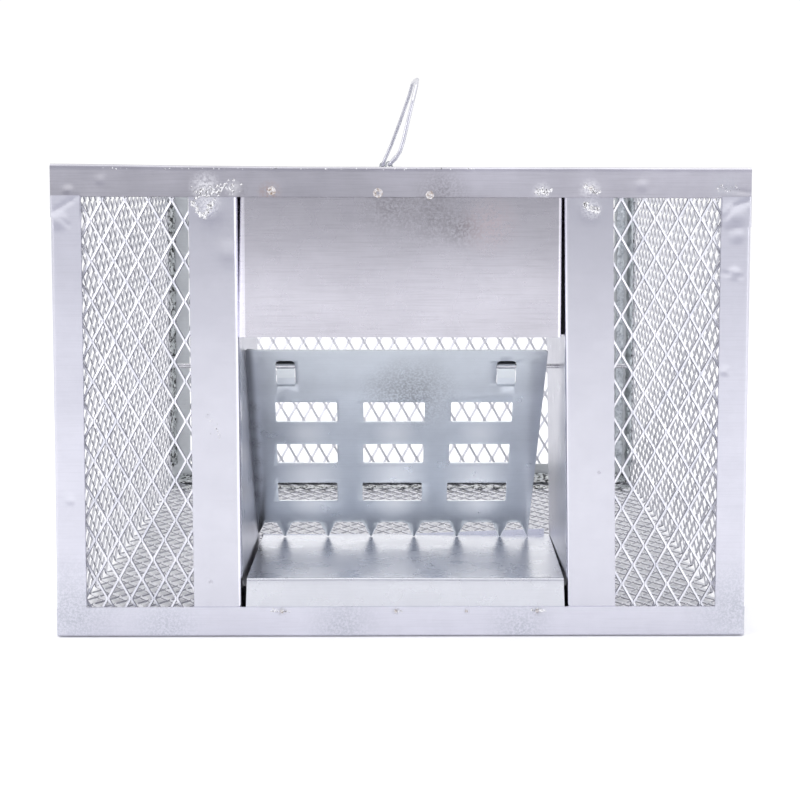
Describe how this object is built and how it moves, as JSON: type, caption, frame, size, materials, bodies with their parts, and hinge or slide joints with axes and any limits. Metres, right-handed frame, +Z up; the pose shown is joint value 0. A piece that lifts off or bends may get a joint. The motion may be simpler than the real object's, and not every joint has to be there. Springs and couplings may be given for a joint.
{
  "type": "live catch trap",
  "caption": "Galvanised box trap of expanded metal with a sheet one-way flap in a front tunnel, a carrying bail and a sliding rear release gate.",
  "frame": {"origin": "middle of the footprint of the whole trap, gate pull included, on the plane it stands on", "axes": "entrance faces -Y, +X is to the right of someone looking into the entrance, +Z is up, +Y is the long way"},
  "size_m": [0.35, 0.528, 0.2945],
  "materials": {
    "strip": "galvanised strip, pale, smooth, with dents and weld spots",
    "plate": "galvanised sheet, soft horizontal rolling lines",
    "mesh": "galvanised expanded metal",
    "wire": "plain galvanised wire",
    "flap": "galvanised sheet, bluish grey, fine spangle",
    "gate": "galvanised strip"
  },
  "bodies": {
    "cage": {"front_rail_top": "strip", "front_rail_bottom": "strip", "front_rail_left": "strip", "front_rail_right": "strip", "rear_rail_top": "strip", "rear_rail_bottom": "strip", "rear_rail_left": "strip", "rear_rail_right": "strip", "gate_guide_left": "strip", "gate_guide_right": "strip", "gate_sill": "strip", "handle_strap": "strip", "handle_clip_front": "strip", "handle_clip_rear": "strip", "tunnel_side_left": "plate", "tunnel_side_right": "plate", "lintel_plate": "plate", "threshold_box": "plate", "mesh_left": "mesh", "mesh_right": "mesh", "mesh_floor": "mesh", "mesh_top": "mesh", "front_mesh_left": "mesh", "front_mesh_right": "mesh", "hinge_rod": "wire"},
    "flap": {"flap_door": "flap"},
    "handle": {"handle_bail": "wire"},
    "gate": {"gate_strip_top": "gate", "gate_strip_bottom": "gate", "gate_strip_left": "gate", "gate_strip_right": "gate", "gate_mesh": "mesh", "gate_pull": "gate"}
  },
  "joints": [
    {"name": "flap_swing", "type": "hinge", "parent": "cage", "child": "flap", "pos_m": [0, -0.222, 0.1345], "axis": [1, 0, 0], "range_deg": [0, 50]},
    {"name": "handle_swing", "type": "hinge", "parent": "cage", "child": "handle", "pos_m": [-0.0102, 0, 0.23987], "axis": [-0.0349, 0.9994, 0], "range_deg": [-107, 50]},
    {"name": "gate_slide", "type": "slide", "parent": "cage", "child": "gate", "axis": [0, 0, 1], "range_m": [0, 0.2]}
  ]
}
